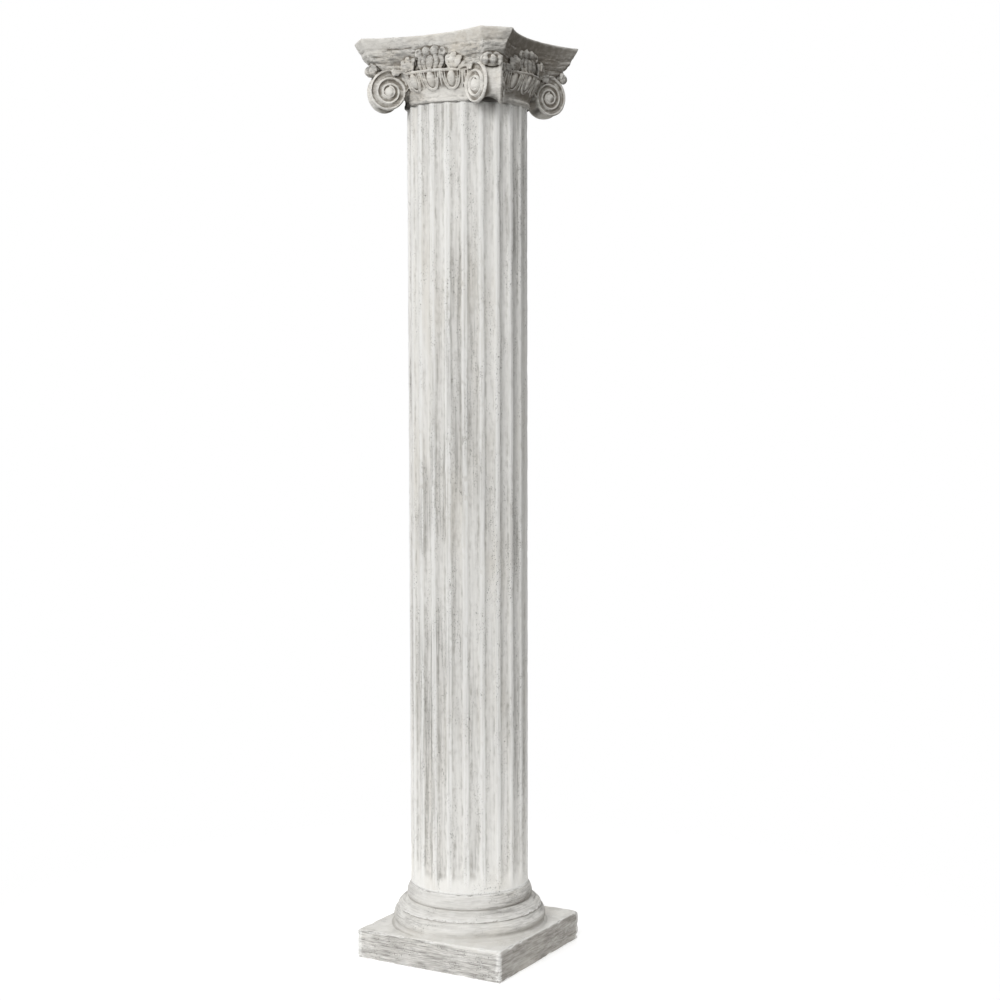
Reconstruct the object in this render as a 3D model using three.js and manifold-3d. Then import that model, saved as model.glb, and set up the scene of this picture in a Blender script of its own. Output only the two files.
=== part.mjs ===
// A fluted column with a four-cornered Ionic capital, in millimetres, standing on z = 0.
import * as THREE from "three";
import { mergeVertices } from "three/addons/utils/BufferGeometryUtils.js";
import Module from "manifold-3d";

const wasm = await Module();
wasm.setup();

// Whole column
const COLUMN_HEIGHT = 2440;
const BASE_HEIGHT = 192;
const CAPITAL_HEIGHT = 166;
const LATHE_SIDES = 40;

// Base
const PLINTH_SIDE = 440;
const PLINTH_HEIGHT = 78;
const PLINTH_ARRIS = 3;
const TORUS_CENTRE_RADIUS = 182;
const TORUS_ROUND = 25;
const TORUS_END_ANGLE = 60;
const TORUS_STEPS = 7;
const OVOLO_FOOT = [197, 127.5];
const OVOLO_SHOULDER = [191, 142];
const OVOLO_TOP = [170, 151];
const JOINT_GROOVE = [165, 152];
const ROLL_BULGE = [171, 153];
const ROLL_WIDEST = [170.5, 162];
const ROLL_SHOULDER = [170, 178];
const ROLL_TOP_RADIUS = 160.5;

// Shaft
const SHAFT_RADIUS = 160;
const FLUTE_COUNT = 22;
const FLUTE_SHARE = 0.72;
const FLUTE_DEPTH = 8.5;
const FLUTE_STEPS = 6;
const FLUTE_TURN = THREE.MathUtils.degToRad(-38.2);

// Capital core: ring, neck and echinus
const CAPITAL_FOOT = COLUMN_HEIGHT - CAPITAL_HEIGHT;
const RING_RADIUS = 167.5;
const RING_HEIGHT = 12;
const NECK_RADIUS = 165;
const NECK_TOP_RADIUS = 169;
const ECHINUS_FOOT = CAPITAL_FOOT + 32;
const ECHINUS_TOP = CAPITAL_FOOT + 78;
const ECHINUS_TOP_RADIUS = 195;
const ECHINUS_BULGE = [185, ECHINUS_FOOT + 12];
const BELL_RADIUS = 187;
const BELL_STEP = 3;
const BELL_TOP = COLUMN_HEIGHT - 57;

// Eggs and darts on the echinus, between the volutes
const EGGS_PER_SIDE = 3;
const EGG_PITCH = THREE.MathUtils.degToRad(18);
const EGG_SIZE = [12, 18, 24];
const EGG_RADIUS = 182;
const EGG_HEIGHT = CAPITAL_FOOT + 54;
const EGG_LEAN = 0.5;
const DART_SIZE = [6, 5, 17];
const DART_RADIUS = 185;

// Abacus
const ABACUS_HORN_RADIUS = 296;
const ABACUS_SIDE = 200;
const ABACUS_ARC_RADIUS = 420;
const ABACUS_ARC_STEPS = 8;
const ABACUS_PROFILE = [[38, 63], [34, 57], [23, 48], [17, 37], [15, 26], [10, 24], [6, 17], [0, 0]];

// Volutes
const VOLUTE_EYE_RADIUS = 219;
const VOLUTE_EYE_HEIGHT = CAPITAL_FOOT + 33;
const VOLUTE_HALF_WIDTH = 40.5;
const VOLUTE_WEDGE = THREE.MathUtils.degToRad(20);
const VOLUTE_TOP = 62;
const VOLUTE_FOOT = 42;
const VOLUTE_DRAW_IN = 3;
const VOLUTE_BACK = -58;
const VOLUTE_STEPS = 16;
const BAND_HOLLOW = 9;
const SPIRAL_START = 50;
const SPIRAL_PITCH = 16;
const SPIRAL_TURNS = 2.25;
const SPIRAL_STEPS = 24;
const SPIRAL_WIDTH = 7;
const SPIRAL_RISE = 6;
const EYE_SIZE = [11, 9, 11];

// Fleurons in the middle of each side
const FLEURON_RADIUS = 190;
const LEAF_SIZE = [11, 14, 25];
const LEAF_HEIGHT = CAPITAL_FOOT + 94;
const LEAF_SPREAD = 22;
const LEAF_FAN = 0.42;
const LOBE_SIZE = [14, 16, 14];
const LOBE_HEIGHT = CAPITAL_FOOT + 128;
const LOBE_SPREAD = 29;
const LOBE_DROP = 4;

// Buds under the horns
const BUD_RADIUS = 262;
const BUD_HEIGHT = CAPITAL_FOOT + 88;
const BUD_SIZE = [21, 17, 19];
const PETAL_RADIUS = 257;
const PETAL_SIZE = [15, 12, 16];
const PETAL_SPREAD = 18;

const PLASTER = { color: 0xd9d7d0, roughness: 0.8, metalness: 0 };
const QUARTER = Math.PI / 2;

/** Merges a geometry's shared corners and makes a solid of it. */
function solidOf(geometry) {
  const bare = geometry.clone();
  bare.deleteAttribute("normal");
  bare.deleteAttribute("uv");
  const merged = mergeVertices(bare, 1e-4);
  const vertProperties = Float32Array.from(merged.attributes.position.array);
  const triVerts = Uint32Array.from(merged.index.array);
  return new wasm.Manifold(new wasm.Mesh({ numProp: 3, vertProperties, triVerts }));
}

/** Joins closed shapes into one casting with a name and the plaster finish. */
function castingOf(name, geometries) {
  const whole = geometries.map(solidOf).reduce((joined, next) => joined.add(next));
  const { vertProperties, triVerts } = whole.getMesh();
  const geometry = new THREE.BufferGeometry();
  geometry.setAttribute("position", new THREE.BufferAttribute(vertProperties, 3));
  geometry.setIndex(new THREE.BufferAttribute(triVerts, 1));
  geometry.computeVertexNormals();
  const mesh = new THREE.Mesh(geometry, new THREE.MeshStandardMaterial(PLASTER));
  mesh.name = name;
  return mesh;
}

/** Points in a plane as vectors. */
function flatPoints(pairs) {
  return pairs.map(([x, y]) => new THREE.Vector2(x, y));
}

/** Turns a profile of [radius, height] points about the column's axis. */
function turned(profile) {
  return new THREE.LatheGeometry(flatPoints(profile), LATHE_SIDES).rotateX(QUARTER);
}

/** Points of a curve that bends from one profile point to another towards a third. */
function bend(from, towards, to, steps) {
  const curve = new THREE.QuadraticBezierCurve(...flatPoints([from, towards, to]));
  return curve.getPoints(steps).map((point) => [point.x, point.y]);
}

/** A closed shape from triangles, each of three points. */
function shapeOf(triangles) {
  return new THREE.BufferGeometry().setFromPoints(triangles.flat());
}

/** Triangles between two closed rings of points, the lower ring first. */
function ringStrip(low, high) {
  return low.flatMap((corner, index) => {
    const next = (index + 1) % low.length;
    return [[corner, low[next], high[next]], [corner, high[next], high[index]]];
  });
}

/** An egg-shaped lump, tipped about its own axes and moved to its place. */
function lump(size, place, tip = [0, 0, 0]) {
  const turn = new THREE.Matrix4().makeRotationFromEuler(new THREE.Euler(...tip));
  const ball = new THREE.SphereGeometry(1, 6, 4).rotateX(QUARTER);
  return ball.scale(...size).applyMatrix4(turn).translate(...place);
}

/** Copies of some shapes turned about the column's axis to equal angles. */
function around(geometries, count, firstAngle = 0) {
  const angles = Array.from({ length: count }, (_, index) => firstAngle + index * 2 * Math.PI / count);
  return angles.flatMap((angle) => geometries.map((geometry) => geometry.clone().rotateZ(angle)));
}

/** The square plinth with slightly worn arrises. */
function plinth() {
  const half = PLINTH_SIDE / 2 - PLINTH_ARRIS;
  const square = new THREE.Shape(flatPoints([[-half, -half], [half, -half], [half, half], [-half, half]]));
  const geometry = new THREE.ExtrudeGeometry(square, {
    depth: PLINTH_HEIGHT - 2 * PLINTH_ARRIS,
    bevelThickness: PLINTH_ARRIS,
    bevelSize: PLINTH_ARRIS,
    bevelSegments: 1,
  });
  return geometry.translate(0, 0, PLINTH_ARRIS);
}

/** The round mouldings of the base: torus, ovolo and foot roll. */
function baseMouldings() {
  const torus = [];
  for (let step = 0; step <= TORUS_STEPS; step += 1) {
    const angle = THREE.MathUtils.degToRad(-90 + step * (90 + TORUS_END_ANGLE) / TORUS_STEPS);
    torus.push([
      TORUS_CENTRE_RADIUS + TORUS_ROUND * Math.cos(angle),
      PLINTH_HEIGHT + TORUS_ROUND * (1 + Math.sin(angle)),
    ]);
  }
  return turned([
    [0, PLINTH_HEIGHT / 2],
    [TORUS_CENTRE_RADIUS, PLINTH_HEIGHT / 2],
    ...torus,
    ...bend(OVOLO_FOOT, OVOLO_SHOULDER, OVOLO_TOP, 3),
    ...bend(JOINT_GROOVE, ROLL_BULGE, ROLL_WIDEST, 2),
    ...bend(ROLL_WIDEST, ROLL_SHOULDER, [ROLL_TOP_RADIUS, BASE_HEIGHT], 4).slice(1),
    [0, BASE_HEIGHT],
  ]);
}

/** The shaft: fillets on the full radius with a round hollow between each two. */
function shaft() {
  const pitch = 2 * Math.PI / FLUTE_COUNT;
  const outline = [];
  for (let flute = 0; flute < FLUTE_COUNT; flute += 1) {
    for (let step = 0; step <= FLUTE_STEPS; step += 1) {
      const across = 2 * step / FLUTE_STEPS - 1;
      const angle = FLUTE_TURN + (flute + across * FLUTE_SHARE / 2) * pitch;
      const radius = SHAFT_RADIUS - FLUTE_DEPTH * Math.sqrt(1 - across * across);
      outline.push([radius * Math.cos(angle), radius * Math.sin(angle)]);
    }
  }
  const depth = CAPITAL_FOOT - BASE_HEIGHT;
  const section = new THREE.Shape(flatPoints(outline));
  const geometry = new THREE.ExtrudeGeometry(section, { depth, bevelEnabled: false });
  return geometry.translate(0, 0, BASE_HEIGHT);
}

/** The turned middle of the capital, from the ring up to the bell under the abacus. */
function capitalCore() {
  const ringTop = CAPITAL_FOOT + RING_HEIGHT;
  const echinusFoot = [NECK_TOP_RADIUS, ECHINUS_FOOT];
  const echinusTop = [ECHINUS_TOP_RADIUS, ECHINUS_TOP];
  return turned([
    [0, CAPITAL_FOOT],
    [NECK_RADIUS, CAPITAL_FOOT],
    [RING_RADIUS, CAPITAL_FOOT + RING_HEIGHT / 3],
    [RING_RADIUS, ringTop - RING_HEIGHT / 3],
    [NECK_RADIUS, ringTop],
    ...bend(echinusFoot, ECHINUS_BULGE, echinusTop, 3),
    [BELL_RADIUS, ECHINUS_TOP + BELL_STEP],
    [BELL_RADIUS, BELL_TOP],
    [0, BELL_TOP],
  ]);
}

/** The abacus outline set in from its top edge: four hollow sides between four cut horns. */
function abacusOutline(inset, height) {
  const arc = ABACUS_ARC_RADIUS + inset;
  const arcCentre = ABACUS_SIDE + ABACUS_ARC_RADIUS;
  const horn = (ABACUS_HORN_RADIUS - inset) * Math.SQRT2;
  // The hollow side x = arcCentre - sqrt(arc^2 - y^2) meets the horn's cut x + y = horn at y = end.
  const reach = arcCentre - horn;
  const end = (-reach + Math.sqrt(2 * arc * arc - reach * reach)) / 2;
  const side = [];
  for (let step = 0; step <= ABACUS_ARC_STEPS; step += 1) {
    const across = end * (2 * step / ABACUS_ARC_STEPS - 1);
    side.push(new THREE.Vector3(arcCentre - Math.sqrt(arc * arc - across * across), across, height));
  }
  const upright = new THREE.Vector3(0, 0, 1);
  const quarters = [0, 1, 2, 3].map((count) => count * QUARTER);
  return quarters.flatMap((angle) => side.map((point) => point.clone().applyAxisAngle(upright, angle)));
}

/** The abacus: a stack of set-in outlines, closed above and below. */
function abacus() {
  const rings = ABACUS_PROFILE.map(([inset, depth]) => abacusOutline(inset, COLUMN_HEIGHT - depth));
  const walls = rings.slice(1).flatMap((ring, index) => ringStrip(rings[index], ring));
  const middle = (ring) => new THREE.Vector3(0, 0, ring[0].z);
  const fan = (ring) => ring.map((corner, index) => [middle(ring), corner, ring[(index + 1) % ring.length]]);
  const underside = fan(rings[0]).map((triangle) => triangle.reverse());
  return shapeOf([...underside, ...walls, ...fan(rings.at(-1))]);
}

/** A point on one face of a volute, whose two faces draw together outwards; face 0 is midway. */
function onVolute([along, up], face, raise = 0) {
  const radius = VOLUTE_EYE_RADIUS + along * Math.cos(VOLUTE_WEDGE);
  const sideways = VOLUTE_HALF_WIDTH - along * Math.sin(VOLUTE_WEDGE) + raise;
  return new THREE.Vector3(radius, face * sideways, VOLUTE_EYE_HEIGHT + up);
}

/** The outer edge of a volute: three quarters of a turn, drawing in, and a corner at its back. */
function voluteRim() {
  const rim = [[VOLUTE_BACK, VOLUTE_TOP]];
  for (let step = VOLUTE_STEPS; step >= 0; step -= 1) {
    const turns = 0.75 * step / VOLUTE_STEPS;
    const angle = 2 * Math.PI * turns;
    const reach = VOLUTE_FOOT + (VOLUTE_TOP - VOLUTE_FOOT) * Math.exp(-VOLUTE_DRAW_IN * turns);
    rim.push([reach * Math.sin(angle), reach * Math.cos(angle)]);
  }
  return rim;
}

/** A line that winds in with the spiral, set off from its crest. */
function spiralLine(offset) {
  return Array.from({ length: SPIRAL_STEPS + 1 }, (_, step) => {
    const turns = SPIRAL_TURNS * step / SPIRAL_STEPS;
    const angle = 2 * Math.PI * turns;
    const reach = SPIRAL_START - SPIRAL_PITCH * turns + offset;
    return [reach * Math.sin(angle), reach * Math.cos(angle)];
  });
}

/** One face of a volute: flat ground inside the rim, with the raised spiral on it. */
function voluteFace(rim, face) {
  const outer = spiralLine(SPIRAL_WIDTH / 2);
  const inner = spiralLine(-SPIRAL_WIDTH / 2);
  const footprint = [...outer, ...inner.toReversed()];
  const flat = [...rim, ...footprint].map((point) => onVolute(point, face));
  const ground = THREE.ShapeUtils.triangulateShape(flatPoints(rim), [flatPoints(footprint)]);
  const crest = spiralLine(0).map((point) => onVolute(point, face, SPIRAL_RISE));
  const [outerFoot, innerFoot] = [outer, inner].map((line) => line.map((point) => onVolute(point, face)));
  const flank = (from, to) => from.slice(1).flatMap((next, index) => [
    [from[index], to[index], next],
    [to[index], to[index + 1], next],
  ]);
  const triangles = [
    ...ground.map((corners) => corners.map((corner) => flat[corner])),
    ...flank(outerFoot, crest),
    ...flank(crest, innerFoot),
    [outerFoot[0], innerFoot[0], crest[0]],
    [outerFoot.at(-1), crest.at(-1), innerFoot.at(-1)],
  ];
  return face > 0 ? triangles.map((triangle) => triangle.reverse()) : triangles;
}

/** A volute: two carved faces and the hollow band between their rims. */
function volute() {
  const rim = voluteRim();
  const draw = 1 - BAND_HOLLOW / VOLUTE_TOP;
  const [near, far] = [-1, 1].map((face) => rim.map((point) => onVolute(point, face)));
  const hollow = rim.map(([along, up]) => onVolute([along * draw, up * draw], 0));
  const band = [...ringStrip(hollow, near), ...ringStrip(far, hollow)];
  return shapeOf([...voluteFace(rim, -1), ...voluteFace(rim, 1), ...band]);
}

/** One corner of the capital, pointing along +X: a volute with its eyes, and the bud on top of it. */
function corner() {
  const sides = [-1, 1];
  const eyes = sides.map((face) => lump(EYE_SIZE, onVolute([0, 0], face).toArray()));
  const petals = sides.map((side) => lump(PETAL_SIZE, [PETAL_RADIUS, side * PETAL_SPREAD, BUD_HEIGHT]));
  return [volute(), ...eyes, lump(BUD_SIZE, [BUD_RADIUS, 0, BUD_HEIGHT]), ...petals];
}

/** One fleuron, on the +X side: a fan of upright leaves with round lobes on top. */
function fleuron() {
  const sides = [-1, 0, 1];
  const leaves = sides.map((side) => lump(
    LEAF_SIZE, [FLEURON_RADIUS, side * LEAF_SPREAD, LEAF_HEIGHT], [-side * LEAF_FAN, 0, 0]));
  const lobes = sides.map((side) => lump(
    LOBE_SIZE, [FLEURON_RADIUS, side * LOBE_SPREAD, LOBE_HEIGHT - Math.abs(side) * LOBE_DROP]));
  return [...leaves, ...lobes];
}

/** The carving of the echinus on the +X side: a row of eggs with a dart between each two. */
function eggRow() {
  const carving = [];
  for (let index = 0; index < EGGS_PER_SIDE; index += 1) {
    const angle = EGG_PITCH * (index - (EGGS_PER_SIDE - 1) / 2);
    carving.push(lump(EGG_SIZE, [EGG_RADIUS, 0, EGG_HEIGHT], [0, EGG_LEAN, 0]).rotateZ(angle));
    if (index > 0) {
      const dart = new THREE.OctahedronGeometry(1).scale(...DART_SIZE).rotateY(EGG_LEAN);
      carving.push(dart.translate(DART_RADIUS, 0, EGG_HEIGHT).rotateZ(angle - EGG_PITCH / 2));
    }
  }
  return carving;
}

const column = new THREE.Group();
column.add(castingOf("base", [plinth(), baseMouldings()]));
column.add(castingOf("shaft", [shaft()]));
column.add(castingOf("capital", [
  capitalCore(),
  abacus(),
  ...around(eggRow(), 4),
  ...around(fleuron(), 4),
  ...around(corner(), 4, Math.PI / 4),
]));

export default column;
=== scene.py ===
"""Looks of a worn, whitewashed Ionic column: base, fluted shaft and four-cornered capital."""
import logging
import math
from dataclasses import dataclass
from enum import Enum
from typing import Any, Iterable, Optional, Sequence

import bmesh
import bpy
import numpy as np
from mathutils import Matrix, Vector


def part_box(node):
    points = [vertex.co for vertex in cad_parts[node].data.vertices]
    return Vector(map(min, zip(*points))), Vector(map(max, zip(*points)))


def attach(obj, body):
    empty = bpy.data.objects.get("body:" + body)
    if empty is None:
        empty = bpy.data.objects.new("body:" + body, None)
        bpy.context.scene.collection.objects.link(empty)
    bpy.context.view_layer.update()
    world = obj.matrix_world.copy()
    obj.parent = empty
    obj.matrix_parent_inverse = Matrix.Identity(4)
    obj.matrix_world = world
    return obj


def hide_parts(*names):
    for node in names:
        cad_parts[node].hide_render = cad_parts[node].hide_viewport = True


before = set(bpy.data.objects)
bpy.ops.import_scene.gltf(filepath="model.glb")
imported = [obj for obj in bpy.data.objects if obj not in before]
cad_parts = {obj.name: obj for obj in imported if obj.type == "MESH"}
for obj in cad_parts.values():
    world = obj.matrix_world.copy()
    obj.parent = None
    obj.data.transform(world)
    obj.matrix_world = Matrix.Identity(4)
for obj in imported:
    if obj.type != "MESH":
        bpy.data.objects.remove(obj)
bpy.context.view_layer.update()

LOG = logging.getLogger("column")
MM = 0.001
TURN = 2 * math.pi
BODY = "root"
ALL_ROUND = 9.0
SIDES = ((1, 0), (0, 1), (-1, 0), (0, -1))
CORNERS = ((1, 1), (-1, 1), (-1, -1), (1, -1))


class Value:
    """A number socket that takes part in Python sums, each of which adds a Math node."""

    def __init__(self, tree: "Tree", socket: bpy.types.NodeSocket) -> None:
        """Keeps the socket and the tree that it belongs to."""
        self.tree = tree
        self.socket = socket

    def math(self, operation: str, *others: Any) -> "Value":
        """Adds a Math node with this value first.

        Args:
            operation: the Math node's operation.
            others: its further inputs, values or numbers.

        Returns:
            The node's result.
        """
        inputs = dict(enumerate((self, *others)))
        return self.tree.value("ShaderNodeMath", {"operation": operation}, inputs)

    def __add__(self, other: Any) -> "Value":
        """Adds."""
        return self.math("ADD", other)

    def __sub__(self, other: Any) -> "Value":
        """Takes the other away."""
        return self.math("SUBTRACT", other)

    def __rsub__(self, other: Any) -> "Value":
        """Takes this away from a number."""
        return self.math("MULTIPLY_ADD", -1.0, other)

    def __mul__(self, other: Any) -> "Value":
        """Multiplies."""
        return self.math("MULTIPLY", other)

    def __truediv__(self, other: Any) -> "Value":
        """Divides."""
        return self.math("DIVIDE", other)

    __radd__ = __add__
    __rmul__ = __mul__


class Tree:
    """Adds nodes to a shader or geometry tree."""

    def __init__(self, nodes: bpy.types.NodeTree) -> None:
        """Keeps the tree, emptied of the nodes it came with."""
        self.nodes = nodes
        nodes.nodes.clear()

    def add(
            self, kind: str, settings: Optional[dict] = None,
            sockets: Optional[dict] = None) -> bpy.types.Node:
        """Adds one node.

        Args:
            kind: the node's type.
            settings: its properties, set first.
            sockets: input name or number to a plain value, a Value, a node or a socket.

        Returns:
            The node.
        """
        node = self.nodes.nodes.new(kind)
        for name, setting in (settings or {}).items():
            setattr(node, name, setting)
        for key, given in (sockets or {}).items():
            used = [socket for socket in node.inputs if socket.name == key and socket.enabled]
            target = used[0] if used else node.inputs[key]
            if isinstance(given, Value):
                given = given.socket
            if isinstance(given, bpy.types.Node):
                given = given.outputs[0]
            if isinstance(given, bpy.types.NodeSocket):
                self.nodes.links.new(given, target)
            else:
                target.default_value = given
        return node

    def value(self, kind: str, settings: Optional[dict] = None, sockets: Optional[dict] = None) -> Value:
        """Adds one node, as add does, and wraps its first output that is in use."""
        node = self.add(kind, settings, sockets)
        return Value(self, next(socket for socket in node.outputs if socket.enabled))

    def vector(self, operation: str, *operands: Any) -> bpy.types.NodeSocket:
        """Adds a Vector Math node and gives its vector output."""
        node = self.add("ShaderNodeVectorMath", {"operation": operation}, dict(enumerate(operands)))
        return node.outputs["Vector"]

    def measure(self, operation: str, *operands: Any) -> Value:
        """Adds a Vector Math node and gives its number output."""
        node = self.add("ShaderNodeVectorMath", {"operation": operation}, dict(enumerate(operands)))
        return Value(self, node.outputs["Value"])

    def split(self, vector: Any) -> list:
        """The x, y and z of a vector, each as a Value."""
        node = self.add("ShaderNodeSeparateXYZ", None, {0: vector})
        return [Value(self, socket) for socket in node.outputs]

    def noise(self, place: Any, scale: float, detail: float = 3.0, seed: Any = 0.0) -> Value:
        """A noise texture over a place, with its seed on the fourth axis."""
        sockets = {"Vector": place, "W": seed, "Scale": scale, "Detail": detail}
        return self.value("ShaderNodeTexNoise", {"noise_dimensions": "4D"}, sockets)

    def ramp(self, given: Any, low: float, high: float) -> Value:
        """A soft step from 0 at the low mark to 1 at the high one."""
        sockets = {"Value": given, "From Min": low, "From Max": high}
        return self.value("ShaderNodeMapRange", {"interpolation_type": "SMOOTHSTEP"}, sockets)

    def mix(self, factor: Any, first: Any, second: Any) -> bpy.types.NodeSocket:
        """Mixes two colours."""
        node = self.add("ShaderNodeMix", {"data_type": "RGBA"}, {0: factor, 6: first, 7: second})
        return node.outputs[2]


class Streak(Enum):
    """How brush marks run: the scale of fine and of loose marks along x, y and z."""

    UPRIGHT = ((1.0, 1.0, 0.03), (1.0, 1.0, 0.2))
    LEVEL = ((0.05, 0.05, 1.0), (0.4, 0.4, 1.0))
    LAYERED = ((0.3, 0.3, 1.0), (0.6, 0.6, 1.0))


@dataclass(frozen=True)
class StainAndShading:
    """A worn or dirty place, also used for painted shade and painted light: its middle and half sizes in
    metres, and the share of it that is even.
    """

    middle: tuple
    reach: tuple
    depth: float = 0.2
    core: float = 0.2

    @classmethod
    def band(cls, level: float, reach: float, depth: float, core: float = 0.2) -> "StainAndShading":
        """A band of stain, wear or painted shading that runs all round the column at one level."""
        return cls((0.0, 0.0, level), (ALL_ROUND, ALL_ROUND, reach), depth, core)

    @classmethod
    def each(
            cls, ways: tuple, out: float, level: float, reach: tuple, depth: float,
            core: float = 0.2) -> tuple:
        """The same stain in each of some ways from the axis."""
        return tuple(cls((out * x, out * y, level), reach, depth, core) for x, y in ways)

    def field(self, tree: Tree, place: Any) -> Value:
        """Works out how deep the patch of stain, wear or painted shading is.

        Args:
            tree: the shader tree to add to.
            place: the socket of the place.

        Returns:
            The depth there, which falls to 0 at the patch's edge.
        """
        apart = tree.vector("DIVIDE", tree.vector("SUBTRACT", place, self.middle), self.reach)
        length = tree.measure("LENGTH", apart)
        return (1.0 - tree.ramp(length, self.core, 1.0)) * self.depth


@dataclass(frozen=True)
class Whitewash:
    """A matt white wash, brushed thin over a grey ground, with dirt and painted shade in the hollows,
    painted shade on one side, and painted shadows in given places.
    """

    name: str
    streak: Streak
    white: tuple = (0.78, 0.775, 0.75, 1.0)
    warm: tuple = (0.70, 0.675, 0.62, 1.0)
    chalk: tuple = (0.86, 0.855, 0.835, 1.0)
    ground: tuple = (0.33, 0.32, 0.30, 1.0)
    speck_and_shadow: tuple = (0.10, 0.094, 0.085, 1.0)
    dirt_and_shade: tuple = (0.16, 0.14, 0.113, 1.0)
    wear: float = 0.6
    specks: float = 0.6
    grime_and_shade: float = 0.8
    soot: float = 0.0
    relief: float = 0.6
    relief_depth: float = 0.0018
    crest: float = 0.6
    mottle: float = 0.22
    bristle_scale: float = 190.0
    band_scale: float = 55.0
    patch_scale: float = 9.0
    tint_scale: float = 13.0
    peel_scale: float = 95.0
    grain_scale: float = 420.0
    flock_scale: float = 40.0
    cranny_scale: float = 60.0
    stains_and_shading: tuple = ()
    shadows: tuple = ()
    seed: float = 0.0

    def material(self) -> bpy.types.Material:
        """Builds the finish.

        Returns:
            The material.
        """
        material = bpy.data.materials.new(self.name)
        material.use_nodes = True
        tree = Tree(material.node_tree)
        place = tree.add("ShaderNodeTexCoord").outputs["Object"]
        fine_scale, loose_scale = self.streak.value
        brushed = tree.vector("MULTIPLY", place, fine_scale)
        loose = tree.vector("MULTIPLY", place, loose_scale)

        # Where the wash is brushed thin, moved by the stain list, which also holds painted shade and painted
        # light
        bristles = tree.noise(brushed, self.bristle_scale, 4.0, self.seed + 2.0)
        fine = tree.ramp(bristles, 0.44, 0.62)
        band = tree.ramp(tree.noise(brushed, self.band_scale, 3.0, self.seed + 3.0), 0.46, 0.64)
        patches = tree.noise(loose, self.patch_scale, 4.0, self.seed + 1.0)
        for stain in self.stains_and_shading:
            patches = patches + stain.field(tree, place)
        thin = tree.ramp(patches, 0.50, 0.66)
        clean = tree.ramp(patches, 0.30, 0.52)
        bare_and_painted_shading = ((fine * 0.3 + band * 0.22) * clean + thin * (fine * 0.4 + band * 0.25 + 0.25)) * self.wear
        tint = tree.ramp(tree.noise(loose, self.tint_scale, 2.0, self.seed + 4.0), 0.45, 0.70)

        # Flaking and dark specks
        peel = tree.ramp(tree.noise(loose, self.peel_scale, 5.0, self.seed + 8.0), 0.46, 0.60)
        squat = tree.vector("MULTIPLY", place, (1.0, 1.0, 0.6))
        grain = tree.noise(squat, self.grain_scale, 1.0, self.seed + 5.0)
        flock = tree.noise(loose, self.flock_scale, 2.0, self.seed + 6.0) + thin * 0.1
        dots = tree.ramp(grain, 0.60, 0.69) * tree.ramp(flock, 0.50, 0.64) * self.specks

        # Dirt and painted shade in the hollows and creases, painted shade on the side facing away from the
        # lights, and crests made lighter
        hollow, crease, soot = (
            Value(tree, tree.add("ShaderNodeAttribute", {"attribute_name": name}).outputs["Fac"])
            for name in ("hollow", "crease", "soot"))
        spread = (tree.noise(place, self.cranny_scale, 3.0, self.seed + 7.0) - 0.5) * 1.1
        cranny = tree.ramp(hollow + spread, 0.2, 1.2)
        crest = tree.ramp(hollow * -1.0, 0.2, 1.3)
        line = tree.ramp(crease, 0.25, 1.1)

        colour = tree.mix(tint * 0.7, self.white, self.warm)
        colour = tree.mix(bare_and_painted_shading, colour, self.ground)
        colour = tree.mix(peel * (1.0 - bare_and_painted_shading * 0.5) * self.mottle, colour, self.chalk)
        colour = tree.mix(cranny * (clean * 0.75 + 0.25) * self.grime_and_shade, colour, self.dirt_and_shade)
        colour = tree.mix(line * self.grime_and_shade * 0.65, colour, self.dirt_and_shade)
        colour = tree.mix(soot * (1.0 - peel * 0.08) * self.soot, colour, self.dirt_and_shade)
        colour = tree.mix(crest * (1.0 - fine * 0.6) * self.crest, colour, self.chalk)
        colour = tree.mix(dots, colour, self.speck_and_shadow)
        # Painted shadows: dark patches set where deep gaps lie in shade
        for shadow in self.shadows:
            colour = tree.mix(shadow.field(tree, place), colour, self.speck_and_shadow)

        height = bristles * 0.5 + grain * 0.35 + peel * 0.15 - dots * 0.8 - bare_and_painted_shading * 0.4
        bump = tree.add("ShaderNodeBump", None, {
            "Strength": self.relief, "Distance": self.relief_depth, "Height": height})
        shader = tree.add("ShaderNodeBsdfPrincipled", None, {
            "Base Color": colour, "Roughness": 0.95 - bare_and_painted_shading * 0.2, "Specular IOR Level": 0.2, "Normal": bump})
        tree.add("ShaderNodeOutputMaterial", None, {"Surface": shader})
        return material


@dataclass
class Skin:
    """A closed surface, with its points in millimetres."""

    points: np.ndarray
    faces: list


def wrapped(rings: np.ndarray) -> Skin:
    """Closes a stack of rings.

    Args:
        rings: points as (ring, point on the ring, xyz).

    Returns:
        The skin, with a fan over its first and its last ring.
    """
    ring_count, side_count, _ = rings.shape
    index = np.arange(ring_count * side_count).reshape(ring_count, side_count)
    beside = np.roll(index, -1, axis=1)
    quads = np.stack([index[:-1], beside[:-1], beside[1:], index[1:]], axis=-1).reshape(-1, 4)
    hub = ring_count * side_count
    fans = [(hub, b, a) for a, b in zip(index[0].tolist(), beside[0].tolist())]
    fans += [(hub + 1, a, b) for a, b in zip(index[-1].tolist(), beside[-1].tolist())]
    hubs = rings[[0, -1]].mean(axis=1)
    return Skin(np.concatenate([rings.reshape(-1, 3), hubs]), quads.tolist() + fans)


def circle(sides: int) -> np.ndarray:
    """Points on a circle of radius 1."""
    angle = np.arange(sides) * TURN / sides
    return np.stack([np.cos(angle), np.sin(angle)], axis=-1)


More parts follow.
